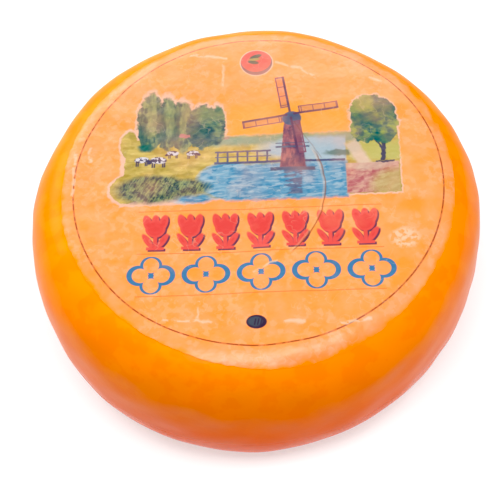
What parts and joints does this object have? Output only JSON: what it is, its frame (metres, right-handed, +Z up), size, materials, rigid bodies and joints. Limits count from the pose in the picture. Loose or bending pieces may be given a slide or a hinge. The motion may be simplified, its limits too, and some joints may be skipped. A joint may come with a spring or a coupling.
{
  "type": "cheese wheel",
  "caption": "Whole round wheel of semi-hard cheese in a glossy orange coating, with bulging sides, a flat base and a printed round film on its top face.",
  "frame": {"origin": "middle of the wheel's flat base, below the middle of its outline", "axes": "+Z up through the wheel's height, which is its shortest side; +X is the reading direction of the print on top, and +Y points to the print's upper edge"},
  "size_m": [0.3496, 0.3504, 0.1308],
  "materials": {
    "rind_coating": "smooth glossy orange food coating, slightly translucent",
    "printed_film": "thin printed film pressed on the coating, slightly wrinkled, satin to glossy"
  },
  "bodies": {
    "root": {"cheese_wheel": "rind_coating", "label_film": "printed_film"}
  },
  "joints": []
}
